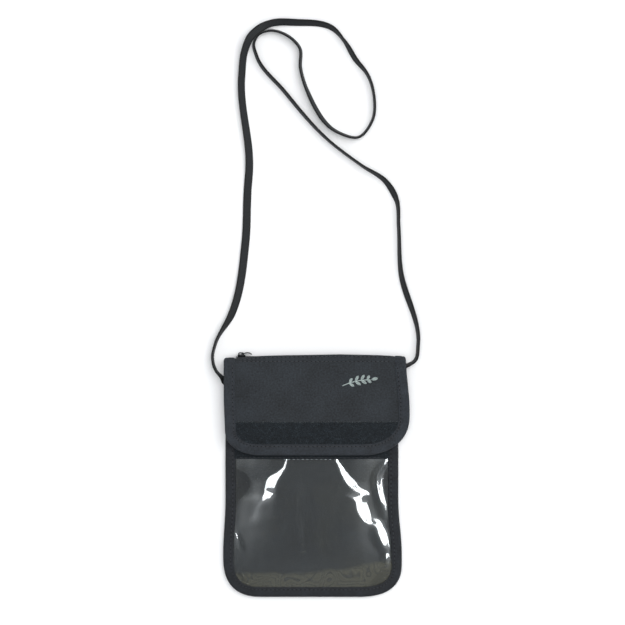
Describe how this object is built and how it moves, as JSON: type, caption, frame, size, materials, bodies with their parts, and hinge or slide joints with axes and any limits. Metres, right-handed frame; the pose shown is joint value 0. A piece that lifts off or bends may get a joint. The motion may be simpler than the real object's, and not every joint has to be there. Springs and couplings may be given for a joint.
{
  "type": "neck pouch wallet",
  "caption": "Flat travel pouch with a fold-over flap, clear front window, zipped rear compartment and a flat webbing neck strap.",
  "frame": {"origin": "centre of the pouch's box, without the strap, on the surface that it lies on", "axes": "+X across the pouch, +Y up it towards the zip and the fold, +Z up, out of the window"},
  "size_m": [0.1601, 0.4341, 0.0151],
  "materials": {
    "nylon_shell": "matt plain-weave nylon",
    "nylon_lining": "matt coated nylon lining",
    "flap_nylon": "matt plain-weave nylon",
    "binding_tape": "matt ribbed binding tape",
    "clear_vinyl": "clear glossy vinyl",
    "loop_tape": "fuzzy loop tape",
    "hook_tape": "hook tape",
    "zip_tape": "woven zip tape",
    "zip_teeth": "black nylon coil",
    "zip_stop_metal": "blackened metal",
    "slider_metal": "black lacquered metal",
    "puller_metal": "black lacquered metal",
    "strap_webbing": "flat ribbed webbing",
    "bartack_thread": "dense thread",
    "emblem_thread": "satin-stitched grey-green thread"
  },
  "bodies": {
    "pouch": {"rear_panel": "nylon_shell", "centre_panel": "nylon_lining", "window": "clear_vinyl", "front_strip": "loop_tape", "body_binding": "binding_tape", "zip_tape_rear": "zip_tape", "zip_tape_front": "zip_tape", "zip_teeth_rear": "zip_teeth", "zip_teeth_front": "zip_teeth", "zip_stop_left": "zip_stop_metal", "zip_stop_right": "zip_stop_metal", "flap_seam": "nylon_shell", "strap_end_left": "strap_webbing", "strap_end_right": "strap_webbing", "bartack_left": "bartack_thread", "bartack_right": "bartack_thread", "neck_strap": "strap_webbing"},
    "flap": {"flap_outer": "flap_nylon", "flap_lining": "nylon_lining", "flap_binding": "binding_tape", "flap_hook_strip": "hook_tape", "flap_patch": "loop_tape", "flap_emblem": "emblem_thread"},
    "slider": {"zip_slider": "slider_metal"},
    "puller": {"zip_puller": "puller_metal"}
  },
  "joints": [
    {"name": "flap_hinge", "type": "hinge", "parent": "pouch", "child": "flap", "pos_m": [0, 0.088, 0.0089], "axis": [-1, 0, 0], "range_deg": [0, 165]},
    {"name": "zip_slide", "type": "slide", "parent": "pouch", "child": "slider", "axis": [1, 0, 0], "range_m": [0, 0.104]},
    {"name": "puller_hinge", "type": "hinge", "parent": "slider", "child": "puller", "pos_m": [-0.0559, 0.09005, 0.0037], "axis": [0, 0, 1], "range_deg": [0, 170]}
  ]
}
